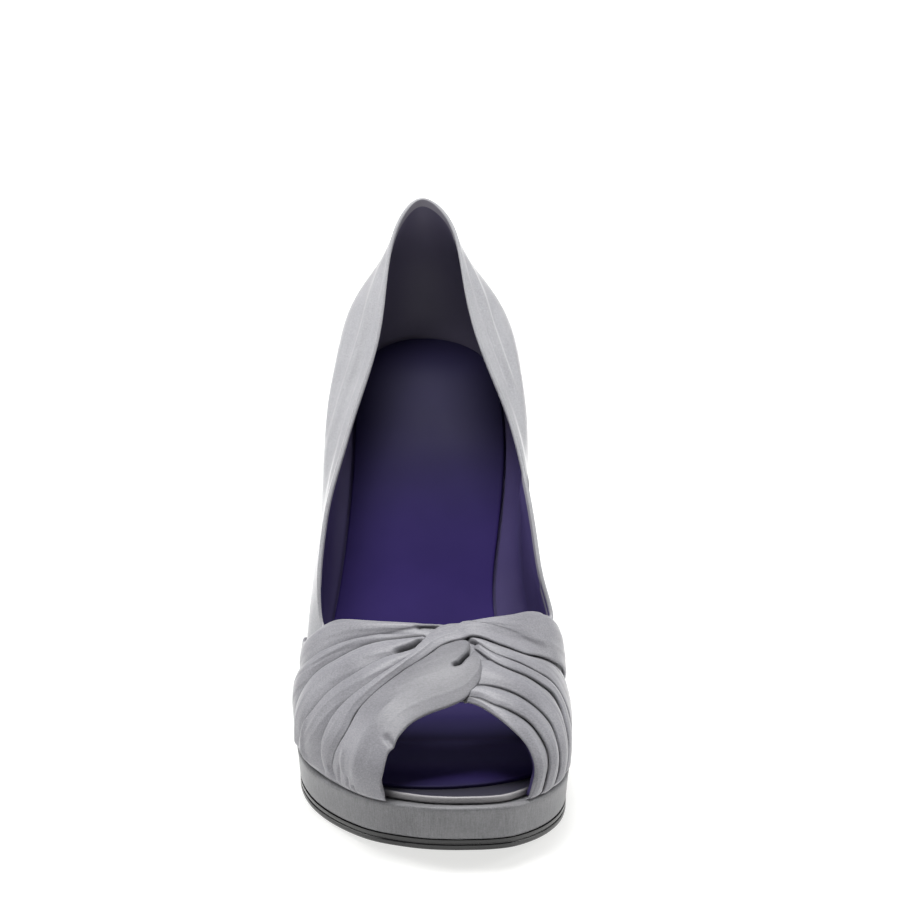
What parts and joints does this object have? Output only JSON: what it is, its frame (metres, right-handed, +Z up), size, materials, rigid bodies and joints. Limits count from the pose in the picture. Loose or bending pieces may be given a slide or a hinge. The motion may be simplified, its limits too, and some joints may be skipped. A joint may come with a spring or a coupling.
{
  "type": "peep toe pump",
  "caption": "High heeled right peep toe pump with a platform, a pleated and twisted satin vamp, a hollow upper open at collar and toe, and a slim covered heel.",
  "frame": {"origin": "middle of the flat tread under the ball of the foot, on the floor, on the line of the back seam", "axes": "+Y from toe to heel, +X to the inner side of the foot, +Z up"},
  "size_m": [0.0904, 0.2067, 0.1628],
  "materials": {
    "black_sole": "glossy black edge and bottom",
    "cover_satin": "grey satin stretched over the platform",
    "heel_satin": "grey satin cover",
    "lift_rubber": "hard black rubber",
    "insole_satin": "light grey satin wrap on the board's edge",
    "purple_sock": "smooth deep purple leather",
    "upper_satin": "light grey satin outside, dark purple grey leather lining inside",
    "drape_satin": "soft pleated grey satin"
  },
  "bodies": {
    "root": {"outsole": "black_sole", "platform": "cover_satin", "heel": "heel_satin", "top_lift": "lift_rubber", "insole": "insole_satin", "sock": "purple_sock", "upper": "upper_satin", "vamp_drape": "drape_satin"}
  },
  "joints": []
}
